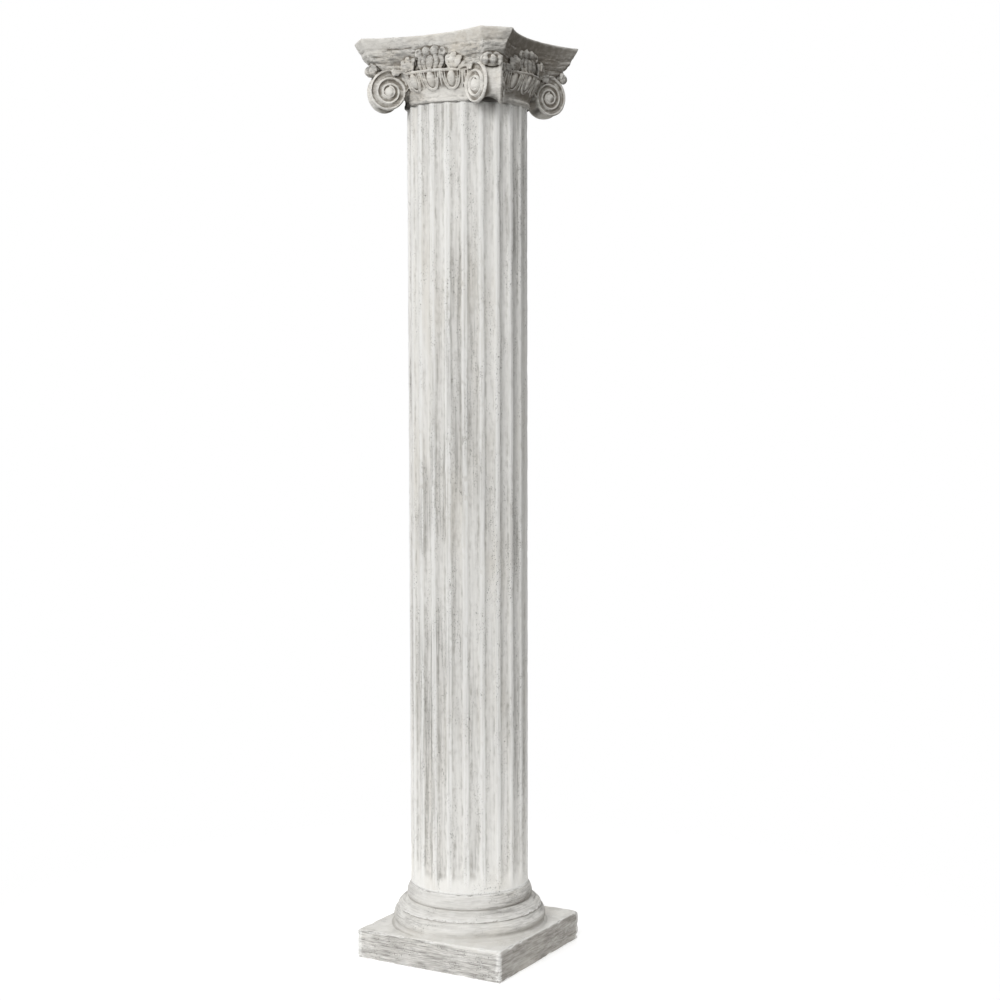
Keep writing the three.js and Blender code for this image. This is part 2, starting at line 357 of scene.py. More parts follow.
def curve(controls: Sequence, count: int) -> np.ndarray:
    """A smooth line through control rows of any width.

    Args:
        controls: the rows to pass through.
        count: how many rows to give.

    Returns:
        The rows of the line.
    """
    rows = np.asarray(controls, float)
    ends = np.concatenate([2 * rows[:1] - rows[1:2], rows, 2 * rows[-1:] - rows[-2:-1]])
    at = np.linspace(0, len(rows) - 1, count)
    start = np.minimum(at.astype(int), len(rows) - 2)
    part = (at - start)[:, None]
    a, b, c, d = (ends[start + step] for step in range(4))
    return b + 0.5 * part * (c - a + part * (2 * a - 5 * b + 4 * c - d + part * (3 * (b - c) + d - a)))


def strand(
        controls: Sequence, facing: Sequence, groove: float = 0.0, steps: int = 40,
        sides: int = 20) -> Skin:
    """A leaf, rod or rib that follows a line and has round ends.

    Args:
        controls: rows of x, y, z, half width and half depth.
        facing: the way its broad side looks.
        groove: how deep a furrow runs along that side, as a share of the depth.
        steps: rings along it.
        sides: points on each ring.

    Returns:
        The skin.
    """
    rows = curve(controls, steps)
    path = rows[:, :3]
    along = np.gradient(path, axis=0)
    along /= np.linalg.norm(along, axis=1, keepdims=True)
    across = np.cross(np.asarray(facing, float), along)
    across /= np.linalg.norm(across, axis=1, keepdims=True)
    out = np.cross(along, across)
    rounding = np.sqrt(1 - np.linspace(-0.995, 0.995, steps) ** 8)
    cosine, sine = circle(sides).T
    furrow = 1 - groove * np.exp(-(cosine / 0.4) ** 2) * (sine > 0)
    wide = (rows[:, 3] * rounding)[:, None] * cosine
    deep = (rows[:, 4] * rounding)[:, None] * sine * furrow
    return wrapped(path[:, None] + wide[..., None] * across[:, None] + deep[..., None] * out[:, None])


def ball(middle: Sequence, radii: Sequence, lean: float = 0.0) -> Skin:
    """An egg-shaped lump.

    Args:
        middle: its centre.
        radii: its half sizes along x, y and z before it leans.
        lean: how far its top leans towards +x, in radians.

    Returns:
        The skin.
    """
    down = np.linspace(0.05, math.pi - 0.05, 22)[::-1, None]
    cosine, sine = circle(32).T
    unit = np.stack([np.sin(down) * cosine, np.sin(down) * sine, np.cos(down) * np.ones(32)], axis=-1)
    tip = np.array([[math.cos(lean), 0, math.sin(lean)], [0, 1, 0], [-math.sin(lean), 0, math.cos(lean)]])
    return wrapped((unit * np.asarray(radii, float)) @ tip.T + np.asarray(middle, float))


def mirrored(skins: Iterable[Skin]) -> list:
    """Skins and their mirror images across y = 0."""
    return [Skin(skin.points * (1, side, 1), skin.faces) for skin in skins for side in (1, -1)]


def turned(profile: np.ndarray, sides: int) -> Skin:
    """Turns a line about the column's axis.

    Args:
        profile: rows of radius and height.
        sides: points on each ring.

    Returns:
        The skin.
    """
    flat = profile[:, None, :1] * circle(sides)
    level = np.broadcast_to(profile[:, None, 1:], (*flat.shape[:2], 1))
    return wrapped(np.concatenate([flat, level], axis=-1))


def placed(name: str, content: Any) -> bpy.types.Object:
    """Makes an object of a mesh, light or camera.

    Args:
        name: the object's name.
        content: what it shows.

    Returns:
        The object, linked to the scene.
    """
    thing = bpy.data.objects.new(name, content)
    bpy.context.scene.collection.objects.link(thing)
    return thing


def mesh_object(name: str, skins: Iterable[Skin]) -> bpy.types.Object:
    """Makes one object of some skins, in metres, with every face looking out.

    Args:
        name: the object's name.
        skins: what it is made of.

    Returns:
        The object, linked to the scene.
    """
    points, faces, count = [], [], 0
    for skin in skins:
        points.append(skin.points * MM)
        faces += [[corner + count for corner in face] for face in skin.faces]
        count += len(skin.points)
    mesh = bpy.data.meshes.new(name)
    mesh.from_pydata(np.concatenate(points).tolist(), [], faces)
    work = bmesh.new()
    work.from_mesh(mesh)
    bmesh.ops.recalc_face_normals(work, faces=work.faces)
    work.to_mesh(mesh)
    work.free()
    return placed(name, mesh)


def settle(piece: bpy.types.Object) -> bpy.types.Object:
    """Turns a piece's modifiers into plain mesh and removes them.

    Args:
        piece: the object.

    Returns:
        The same object.
    """
    graph = bpy.context.evaluated_depsgraph_get()
    done = bpy.data.meshes.new_from_object(
        piece.evaluated_get(graph), preserve_all_data_layers=True, depsgraph=graph)
    piece.modifiers.clear()
    spent = piece.data
    piece.data = done
    bpy.data.meshes.remove(spent)
    done.name = piece.name
    return piece


def shape(piece: bpy.types.Object, kind: str, **settings: Any) -> bpy.types.Object:
    """Adds a modifier and turns it into plain mesh.

    Args:
        piece: the object.
        kind: the modifier's type.
        settings: its properties.

    Returns:
        The same object.
    """
    modifier = piece.modifiers.new(kind.lower(), kind)
    for name, setting in settings.items():
        setattr(modifier, name, setting)
    return settle(piece)


def triangle_count(piece: bpy.types.Object) -> int:
    """How many triangles a piece's mesh comes to."""
    return sum(len(face.vertices) - 2 for face in piece.data.polygons)


class Recipe:
    """A Geometry Nodes tree with named inputs."""

    KINDS = {float: "NodeSocketFloat", int: "NodeSocketInt", tuple: "NodeSocketVector"}

    def __init__(self, name: str, inputs: dict) -> None:
        """Makes a tree that takes a mesh, a finish and the named inputs.

        Args:
            name: the tree's name.
            inputs: input name to its usual value.
        """
        group = bpy.data.node_groups.new(name, "GeometryNodeTree")
        face = group.interface
        face.new_socket("Geometry", in_out="OUTPUT", socket_type="NodeSocketGeometry")
        face.new_socket("Geometry", in_out="INPUT", socket_type="NodeSocketGeometry")
        face.new_socket("Finish", in_out="INPUT", socket_type="NodeSocketMaterial")
        for label, usual in inputs.items():
            socket = face.new_socket(label, in_out="INPUT", socket_type=self.KINDS[type(usual)])
            socket.default_value = usual
        self.tree = Tree(group)
        self.given = self.tree.add("NodeGroupInput")

    def input(self, label: str) -> Value:
        """One of the named inputs."""
        return Value(self.tree, self.given.outputs[label])

    def close(self, geometry: Any) -> "Recipe":
        """Ends the tree with realized, smooth, finished mesh.

        Args:
            geometry: the node whose result is finished.

        Returns:
            This recipe.
        """
        finish = self.given.outputs["Finish"]
        real = self.tree.add("GeometryNodeRealizeInstances", None, {"Geometry": geometry})
        smooth = self.tree.add("GeometryNodeSetShadeSmooth", None, {"Geometry": real})
        done = self.tree.add("GeometryNodeSetMaterial", None, {"Geometry": smooth, "Material": finish})
        self.tree.add("NodeGroupOutput", None, {"Geometry": done})
        return self

    def cook(self, piece: bpy.types.Object, finish: bpy.types.Material, **inputs: Any) -> bpy.types.Object:
        """Runs the tree on a piece and keeps the result as plain mesh.

        Args:
            piece: the object to work on.
            finish: the material of the result.
            inputs: input name, with _ for each space, to its value.

        Returns:
            The same object.
        """
        modifier = piece.modifiers.new(self.tree.nodes.name, "NODES")
        modifier.node_group = self.tree.nodes
        wanted = {"Finish": finish, **{name.replace("_", " "): given for name, given in inputs.items()}}
        for item in self.tree.nodes.interface.items_tree:
            if item.in_out == "INPUT" and item.name in wanted:
                modifier[item.identifier] = wanted[item.name]
        return settle(piece)


def fluting_recipe() -> Recipe:
    """The shaft: a cylinder whose wall is drawn in between its fillets.

    Returns:
        The recipe.
    """
    recipe = Recipe("fluting", {
        "Radius": 0.16, "Foot": 0.0, "Top": 1.0, "Flutes": 22.0, "Share": 0.72, "Depth": 0.008,
        "Turn": 0.0, "Wander": 0.1, "Foot Fade": 0.03, "Seed": 0.0, "Sides": 352, "Rows": 250})
    tree = recipe.tree
    foot, top = recipe.input("Foot"), recipe.input("Top")
    drum = tree.add("GeometryNodeMeshCylinder", {"fill_type": "NGON"}, {
        "Vertices": recipe.input("Sides"), "Side Segments": recipe.input("Rows"),
        "Radius": 1.0, "Depth": 1.0})
    x, y, z = tree.split(tree.add("GeometryNodeInputPosition"))
    height = foot + (z + 0.5) * (top - foot)
    stretched = tree.add("ShaderNodeCombineXYZ", None, {0: x, 1: y, 2: height})
    swaying = tree.vector("MULTIPLY", stretched, (7.0, 7.0, 11.0))
    sway = tree.noise(swaying, 1.0, 4.0, recipe.input("Seed")) - 0.5
    phase = (y.math("ARCTAN2", x) - recipe.input("Turn")) * recipe.input("Flutes") / TURN + 0.5
    across = (phase.math("FLOORED_MODULO", 1.0) - 0.5) * 2.0 / recipe.input("Share")
    across = across + sway * recipe.input("Wander")
    dip = (1.0 - across * across).math("MAXIMUM", 0.0).math("POWER", 0.62)
    fade = tree.ramp((height - foot) / recipe.input("Foot Fade"), 0.0, 1.0)
    radius = recipe.input("Radius") - dip * fade * recipe.input("Depth")
    moved = tree.add("ShaderNodeCombineXYZ", None, {0: x * radius, 1: y * radius, 2: height})
    wall = tree.add("GeometryNodeSetPosition", None, {"Geometry": drum, "Position": moved})
    return recipe.close(wall)


def ring_recipe() -> Recipe:
    """Copies of a unit, turned about the column's axis.

    Returns:
        The recipe.
    """
    recipe = Recipe("ring", {"Count": 4, "First": 0.0, "Pitch": TURN / 4})
    tree = recipe.tree
    spots = tree.add("GeometryNodePoints", None, {"Count": recipe.input("Count")})
    number = tree.value("GeometryNodeInputIndex")
    angle = recipe.input("First") + number * recipe.input("Pitch")
    euler = tree.add("ShaderNodeCombineXYZ", None, {2: angle})
    turn = tree.add("FunctionNodeEulerToRotation", None, {0: euler})
    copies = tree.add("GeometryNodeInstanceOnPoints", None, {
        "Points": spots, "Instance": recipe.given.outputs["Geometry"], "Rotation": turn})
    return recipe.close(copies)


def weather_recipe() -> Recipe:
    """Hand-made unevenness, chips and flaked layers, with hollows marked for the finish and one side marked
    for painted shade.

    Returns:
        The recipe.
    """
    recipe = Recipe("weather", {
        "Stretch": (1.0, 1.0, 1.0), "Ripple": 0.001, "Ripple Scale": 40.0, "Grit": 0.0003,
        "Grit Scale": 200.0, "Chip": 0.003, "Chip Scale": 30.0, "Chip Spread": 1.0, "Reach": 6,
        "Crease Reach": 0, "Edge": 0.0008, "Strata": 0.0, "Strata Low": 0.0, "Strata High": 1.0,
        "Shaded Side": (0.85, 0.2, -0.49), "Seed": 0.0})
    tree = recipe.tree
    place = tree.add("GeometryNodeInputPosition").outputs[0]
    normal = tree.add("GeometryNodeInputNormal").outputs[0]
    seed = recipe.input("Seed")

    # How far the surface stands out of its surroundings, wide and close
    bulges = []
    for reach in ("Reach", "Crease Reach"):
        eased = tree.value("GeometryNodeBlurAttribute", {"data_type": "FLOAT_VECTOR"}, {
            "Value": place, "Iterations": recipe.input(reach)})
        raised = tree.vector("SUBTRACT", place, eased)
        bulges.append(tree.measure("DOT_PRODUCT", raised, normal) / recipe.input("Edge"))
    bulge, sharp = bulges

    # Level layers between two heights, on flat ground
    level = tree.split(place)[2]
    low, high = recipe.input("Strata Low"), recipe.input("Strata High")
    near = tree.ramp(((low + high) * 0.5 - level).math("ABSOLUTE") / ((high - low) * 0.5), 1.0, 0.6)
    flattened = tree.vector("MULTIPLY", place, (0.16, 0.16, 1.0))
    layers = tree.noise(flattened, 120.0, 4.0, seed + 3.0) - 0.5
    flat = 1.0 - tree.ramp(bulge.math("ABSOLUTE"), 0.3, 0.9)

    # Ripples, grit, and chips on the edges
    drawn = tree.vector("MULTIPLY", place, recipe.input("Stretch"))
    ripple = tree.noise(drawn, recipe.input("Ripple Scale"), 3.0, seed) - 0.5
    grit = tree.noise(drawn, recipe.input("Grit Scale"), 3.0, seed + 1.0) - 0.5
    flaw = tree.ramp(tree.noise(place, recipe.input("Chip Scale"), 4.0, seed + 2.0), 0.50, 0.72)
    spread = recipe.input("Chip Spread")
    chip = flaw * tree.ramp(bulge, 0.15, 1.0) * recipe.input("Chip") * (near * (1.0 - spread) + spread)
    lift = ripple * recipe.input("Ripple") * 2.0 + grit * recipe.input("Grit") * 2.0 - chip
    lift = lift + layers * near * flat * recipe.input("Strata") * 2.0
    offset = tree.add("ShaderNodeVectorMath", {"operation": "SCALE"}, {0: normal, "Scale": lift})
    worn = tree.add("GeometryNodeSetPosition", None, {
        "Geometry": recipe.given.outputs["Geometry"], "Offset": offset.outputs["Vector"]})

    # Painted shade: points that face the shaded side are marked to be darkened in the finish
    facing = tree.measure("DOT_PRODUCT", normal, recipe.input("Shaded Side"))
    marks = {"hollow": bulge * -1.0, "crease": sharp * -3.0, "soot": tree.ramp(facing, 0.55, 0.98)}
    for name, mark in marks.items():
        worn = tree.add("GeometryNodeStoreNamedAttribute", {"data_type": "FLOAT", "domain": "POINT"}, {
            "Geometry": worn, "Name": name, "Value": mark})
    return recipe.close(worn)


@dataclass
class Base:
    """The square plinth with its torus, ovolo and foot roll, cast as one."""

    node: str = "base"
    side: float = 440.0
    plinth: float = 78.0
    arris: float = 3.0
    near_corner_lift: float = 7.0
    cove: tuple = ((212, 78.0), (207.5, 79), (205, 81.5), (204, 86))
    torus_radius: float = 182.0
    torus_round: float = 25.0
    torus_start: float = math.radians(-28)
    torus_end: float = math.radians(66)
    ovolo: tuple = (
        (195.5, 127.2), (195.4, 131), (190.5, 137), (184, 142.5), (176.5, 147.5), (169.5, 151))
    groove: tuple = ((166.5, 152), (166.3, 153.2))
    roll: tuple = (
        (168, 154.5), (170, 158), (170.6, 163), (169.6, 171), (166.6, 179.5), (162.6, 186), (160.5, 192))
    sides: int = 448
    # The finish paints shade on the plinth's side that faces away from the lights
    finish: Whitewash = Whitewash(
        "worn_whitewash_base", Streak.LEVEL, seed=3.0, wear=0.85, specks=0.7, grime_and_shade=0.42, soot=0.58,
        bristle_scale=532.0, band_scale=154.0,
        white=(0.675, 0.662, 0.63, 1.0), ground=(0.27, 0.259, 0.243, 1.0),
        stains_and_shading=(
            StainAndShading.band(0.032, 0.05, 0.24, 0.85),
            StainAndShading.band(0.145, 0.06, 0.08, 0.8),
            # Painted light: the plinth's top whitened where light from above falls on it
            StainAndShading.band(0.084, 0.012, -0.2),
        ))

    def profile(self) -> list:
        """The turned mouldings, from the plinth's top to the shaft.

        Returns:
            Rows of radius and height.
        """
        rows = list(self.cove)
        for angle in np.linspace(self.torus_start, self.torus_end, 30):
            radius = self.torus_radius + self.torus_round * math.cos(angle)
            rows.append((radius, self.plinth + self.torus_round * (1 + math.sin(angle))))
        return rows + curve(self.ovolo, 16).tolist() + list(self.groove) + curve(self.roll, 24).tolist()

    def rings(self) -> np.ndarray:
        """The rings of the whole casting, from the middle of its underside to the middle of its top.

        Returns:
            Points as (ring, point, xyz).
        """
        ring = circle(self.sides)
        square = ring / np.abs(ring).max(axis=1, keepdims=True)
        half = self.side / 2
        bevel = [(self.arris * (1 - math.sin(a)), self.arris * (1 - math.cos(a)))
                 for a in np.linspace(0, math.pi / 2, 5)]
        rows = [(square * half * part, 0.0) for part in np.linspace(0.05, 0.97, 10)]
        rows += [(square * (half - inset), rise) for inset, rise in bevel]
        wall = np.linspace(self.arris, self.plinth - self.arris, 26)[1:-1]
        rows += [(square * half, level) for level in wall]
        rows += [(square * (half - inset), self.plinth - fall) for fall, inset in bevel]
        inner, outer = ring * self.cove[0][0], square * (half - self.arris)
        rows += [(outer * (1 - part) + inner * part, self.plinth) for part in np.linspace(0.06, 1, 18)[:-1]]
        profile = self.profile()
        rows += [(ring * radius, level) for radius, level in profile]
        top_radius, top = profile[-1]
        rows += [(ring * top_radius * part, top) for part in np.linspace(0.97, 0.05, 8)]
        rings = np.stack([np.column_stack([flat, np.full(self.sides, level)]) for flat, level in rows])
        high = np.clip(rings[..., 2] / self.plinth, 0, 1) * (rings[..., 2] < self.plinth + 5)
        near = np.clip((rings[..., 0] - rings[..., 1]) / self.side, 0, 1)
        rings[..., 2] += self.near_corner_lift * high * near ** 1.5
        return rings

    def build(self, weather: Recipe) -> bpy.types.Object:
        """Makes the casting and wears it.

        Args:
            weather: the wear recipe.

        Returns:
            The finished piece.
        """
        piece = mesh_object("base_casting", [wrapped(self.rings())])
        return weather.cook(
            piece, self.finish.material(), Stretch=(0.35, 0.35, 1.0), Ripple=0.0011, Ripple_Scale=42.0,
            Grit=0.0004, Grit_Scale=170.0, Chip=0.006, Chip_Scale=45.0, Reach=5, Edge=0.0007, Seed=4.0)


@dataclass
class Shaft:
    """The fluted shaft."""

    node: str = "shaft"
    radius: float = 160.0
    flutes: int = 22
    share: float = 0.74
    depth: float = 8.0
    turn: float = math.radians(-38.2)
    wander: float = 0.55
    foot_fade: float = 50.0
    sides_per_flute: int = 14
    rows: int = 300
    finish: Whitewash = Whitewash(
        "dry_brushed_whitewash_shaft", Streak.UPRIGHT, seed=11.0, wear=0.58, specks=0.75, grime_and_shade=0.45,
        crest=0.75, white=(0.795, 0.785, 0.752, 1.0),
        stains_and_shading=(
            StainAndShading((-0.056, -0.147, 1.214), (0.06, 0.06, 0.2), 0.24),
            StainAndShading((0.006, -0.157, 1.256), (0.04, 0.04, 0.12), 0.12),
            StainAndShading((0.156, -0.021, 1.16), (0.05, 0.05, 0.26), 0.16),
            StainAndShading((0.156, 0.014, 0.508), (0.05, 0.06, 0.10), 0.25),
            StainAndShading((-0.005, -0.157, 0.248), (0.025, 0.03, 0.06), 0.28),
            StainAndShading.band(0.2, 0.07, -0.3),
        ))

    def build(self, fluting: Recipe, weather: Recipe) -> bpy.types.Object:
        """Makes the shaft between the two castings and wears it.

        Args:
            fluting: the shaft recipe.
            weather: the wear recipe.

        Returns:
            The finished piece.
        """
        low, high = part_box(self.node)
        finish = self.finish.material()
        piece = mesh_object("shaft_casting", [ball((0, 0, 0), (1, 1, 1))])
        fluting.cook(
            piece, finish, Radius=self.radius * MM, Foot=low[2], Top=high[2], Flutes=float(self.flutes),
            Share=self.share, Depth=self.depth * MM, Turn=self.turn, Wander=self.wander,
            Foot_Fade=self.foot_fade * MM, Sides=self.flutes * self.sides_per_flute, Rows=self.rows,
            Seed=2.0)
        return weather.cook(
            piece, finish, Stretch=(1.0, 1.0, 0.22), Ripple=0.0011, Ripple_Scale=46.0, Grit=0.00035,
            Grit_Scale=190.0, Chip=0.0016, Chip_Scale=34.0, Reach=3, Edge=0.0006, Seed=8.0)


@dataclass(frozen=True)
class Abacus:
    """The top slab: four hollow sides, four cut horns, and an edge given by two insets at each depth."""

    top: float = 2440.0
    horn: float = 296.0
    side: float = 200.0
    arc: float = 420.0
    profile: tuple = (
        (0, 0, 0), (0.6, 0.6, 4), (3.5, 3.5, 10), (7.2, 7.2, 17), (10, 10, 22), (11.6, 11.6, 25.5),
        (14.0, 14.0, 27.4), (15.3, 15.3, 30.5), (17, 17, 36), (19.5, 19.5, 42), (22, 24, 48),
        (24, 30, 53), (26, 36, 57), (31, 41, 59.5), (33, 47, 64), (34, 53, 70), (36, 60, 76))

    def outline(self, inset: float, horn_inset: float) -> np.ndarray:
        """The edge of the slab, set in from its top edge.

        Args:
            inset: how far its hollow sides are set in.
            horn_inset: how far its cut horns are set in.

        Returns:
            Points round the axis.
        """
        arc = self.arc + inset
        centre = self.side + self.arc
        reach = centre - (self.horn - horn_inset) * math.sqrt(2)
        end = (-reach + math.sqrt(2 * arc * arc - reach * reach)) / 2
        across = np.linspace(-end, end, 90)
        hollow = np.stack([centre - np.sqrt(arc * arc - across * across), across], axis=-1)
        cut = np.linspace(hollow[-1], hollow[-1, ::-1], 24)[1:-1]
        quarter = np.concatenate([hollow, cut])
        turns = [np.linalg.matrix_power(np.array([[0, -1], [1, 0]]), count) for count in range(4)]
        return np.concatenate([quarter @ turn.T for turn in turns])

    def skin(self) -> Skin:
        """The whole slab.

        Returns:
            The skin.
        """
        rows = []
        for inset, horn_inset, depth in reversed(self.profile):
            outline = self.outline(inset, horn_inset)
            rows.append(np.column_stack([outline, np.full(len(outline), self.top - depth)]))
        return wrapped(np.stack(rows))


@dataclass(frozen=True)
class Volute:
    """A corner scroll: two carved faces that draw together outwards, and a hollow band between them."""

    eye_radius: float = 219.0
    eye_height: float = 2307.0
    half_width: float = 40.5
    wedge: float = math.radians(20)
    top: float = 62.0
    foot: float = 42.0
    draw_in: float = 3.0
    back: float = 58.0
    back_start: float = 0.74
    back_blend: float = 0.06
    spiral: tuple = (55.5, 48, 43.3, 41, 35.5, 30.5, 27.8, 25.3, 20, 16.5, 14)
    laps: int = 3
    sunk: float = 7.0
    ridge: float = 2.7
    eye: float = 12.8
    eye_proud: float = 4.0
    hollow: float = 10.0
    soft_edge: float = 4.0
    heel: tuple = (-6.0, 57.0)
    leaf_length: float = 27.0
    leaves: tuple = ((0.25, 1.0), (0.67, 0.9), (1.09, 0.72))
    leaf_widths: tuple = ((0.0, 3.0), (0.4, 5.0), (0.8, 5.4), (1.0, 4.0))

    def rim(self, turns: np.ndarray) -> np.ndarray:
        """How far the edge is from the eye.

        Args:
            turns: parts of a turn, counted from the top and over the outside.

        Returns:
            The distances.
        """
        scroll = self.foot + (self.top - self.foot) * np.exp(-self.draw_in * turns)
        angle = TURN * turns
        behind = self.back / np.maximum(-np.sin(angle), 1e-6)
        above = self.top / np.maximum(np.cos(angle), 1e-6)
        blend = np.clip((turns - self.back_start) / self.back_blend, 0, 1)
        return scroll * (1 - blend) + np.minimum(behind, above) * blend

    def relief(self, reach: np.ndarray, turns: np.ndarray) -> np.ndarray:
        """How far a face stands out, with its fillet's crest at 0.

        Args:
            reach: distance from the eye.
            turns: part of a turn from the top.

        Returns:
            Heights in millimetres, below 0 in the channel.
        """
        keys = np.arange(len(self.spiral)) / 4
        crests = [np.interp(turns + lap, keys, self.spiral) for lap in range(self.laps)]
        nearest = np.min([np.abs(reach - crest) for crest in crests], axis=0)
        upper = np.where(turns > 0.75, np.abs(reach * np.cos(TURN * turns) - self.spiral[0]), 99)
        fillet = np.exp(-(np.minimum(nearest, upper) / self.ridge) ** 2)
        border = -0.25 * self.sunk * np.clip((reach - crests[0]) / self.ridge, 0, 1) ** 2
        outside = (reach > crests[0]) & (turns < 0.75)
        height = np.where(outside, border, -self.sunk * (1 - fillet))
        dome = np.sqrt(np.maximum(1 - (reach / self.eye) ** 2, 0))
        return np.maximum(height, -self.sunk + (self.sunk + self.eye_proud) * dome - 99 * (dome == 0))

    def place(self, along: np.ndarray, up: np.ndarray, face: Any, raised: Any = 0.0) -> np.ndarray:
        """A point of the scroll, which points along +x.

        Args:
            along: how far out of the eye.
            up: how far above the eye.
            face: 1 and -1 on the two faces, and 0 midway.
            raised: how far out of the face.

        Returns:
            The point.
        """
        out = self.eye_radius + along * math.cos(self.wedge)
        sideways = self.half_width - along * math.sin(self.wedge) + raised
        return np.stack([out, face * sideways, self.eye_height + up], axis=-1)

    def scroll(self) -> Skin:
        """The two faces and the band.

        Returns:
            The skin.
        """
        turns = np.arange(260) / 260
        rim = self.rim(turns)
        sine, cosine = np.sin(TURN * turns), np.cos(TURN * turns)
        faces = {1: [], -1: []}
        for face, rings in faces.items():
            for part in np.linspace(0.015, 1, 76):
                reach = (rim - self.soft_edge) * part
                rings.append(self.place(reach * sine, reach * cosine, face, self.relief(reach, turns)))
        band = []
        under = 1 + 2.2 * np.exp(-((turns - 0.5) / 0.06) ** 2)
        for across in np.linspace(1, -1, 41)[1:-1]:
            dip = self.hollow * max(0.0, 1 - (across / 0.68) ** 2) ** 0.8 * under
            dip += self.soft_edge * max(0.0, (abs(across) - 0.78) / 0.22) ** 2
            band.append(self.place((rim - dip) * sine, (rim - dip) * cosine, across))
        return wrapped(np.stack(faces[1] + band + faces[-1][::-1]))

    def skins(self) -> list:
        """The scroll, and the small leaves where its channel ends.

        Returns:
            The skins.
        """
        leaves = []
        for dip, length in self.leaves:
            way = np.array([-math.cos(dip), -math.sin(dip)]) * self.leaf_length * length
            controls = []
            for part, wide in self.leaf_widths:
                along, up = np.array(self.heel) + way * part
                controls.append([*self.place(along, up, 1, -1.5 + 2.0 * part), wide, 4.6])
            leaves.append(strand(controls, (0.3, 1, 0), groove=0.25, steps=16, sides=12))
        return [self.scroll(), *mirrored(leaves)]


@dataclass(frozen=True)
class Echinus:
    """The turned core of the capital, with eggs in two shells and darts on its slope."""

    profile: tuple = (
        (165.5, 2274.0), (167, 2276.5), (167.2, 2280), (166.2, 2283.0), (164.9, 2285), (164.7, 2289),
        (165.6, 2296), (168.6, 2303), (169, 2305.5), (173, 2313), (179, 2325), (184.5, 2337),
        (188.5, 2345), (193, 2347.5), (194.5, 2350), (194, 2353), (188, 2354.5), (172, 2356.5),
        (168, 2362), (168, 2380), (166, 2386))
    rows: int = 120
    sides: int = 240
    egg_count: int = 20
    egg_radius: float = 182.0
    egg_height: float = 2327.0
    egg_sizes: tuple = (9.5, 12.0, 20.5)
    lean: float = 0.5
    shells: tuple = ((17.6, -23.0, 2.2, 0.2), (24.0, -26.5, 2.1, -0.4))
    shell_top: float = 23.0
    shell_sweep: float = 1.45
    dart: tuple = ((24.0, 4.2), (8.0, 3.2), (-8.0, 2.4), (-22.0, 1.4))
    dart_depth: float = 3.4

    def core(self) -> Skin:
        """The turned core."""
        return turned(curve(self.profile, self.rows), self.sides)

    def on_slope(self, across: float, up: float, out: float) -> list:
        """A point by the slope at +x.

        Args:
            across: how far from the middle of an egg, sideways.
            up: how far up the slope.
            out: how far out of the slope.

        Returns:
            The point.
        """
        sine, cosine = math.sin(self.lean), math.cos(self.lean)
        radius = self.egg_radius + out * cosine + up * sine
        return [radius, across, self.egg_height - out * sine + up * cosine]

    def egg_unit(self) -> list:
        """One egg in its two shells, and the dart beside it.

        Returns:
            The skins, with the egg at +x.
        """
        facing = (math.cos(self.lean), 0.0, -math.sin(self.lean))
        skins = [ball(self.on_slope(0, 2, -2.0), self.egg_sizes, self.lean)]
        for wide, low, thick, out in self.shells:
            controls = []
            for part in np.linspace(-1, 1, 9):
                across = wide * math.sin(part * self.shell_sweep)
                up = low + (self.shell_top - low) * abs(part) ** 2.2
                controls.append([*self.on_slope(across, up, out), thick, thick * 1.5])
            skins.append(strand(controls, facing, steps=44, sides=12))
        dart = [[*self.on_slope(0, up, -0.6), wide, self.dart_depth] for up, wide in self.dart]
        dart_skin = strand(dart, facing, steps=24, sides=12)
        half_pitch = math.pi / self.egg_count
        sine, cosine = math.sin(half_pitch), math.cos(half_pitch)
        turn = np.array([[cosine, -sine, 0], [sine, cosine, 0], [0, 0, 1]])
        return [*skins, Skin(dart_skin.points @ turn.T, dart_skin.faces)]


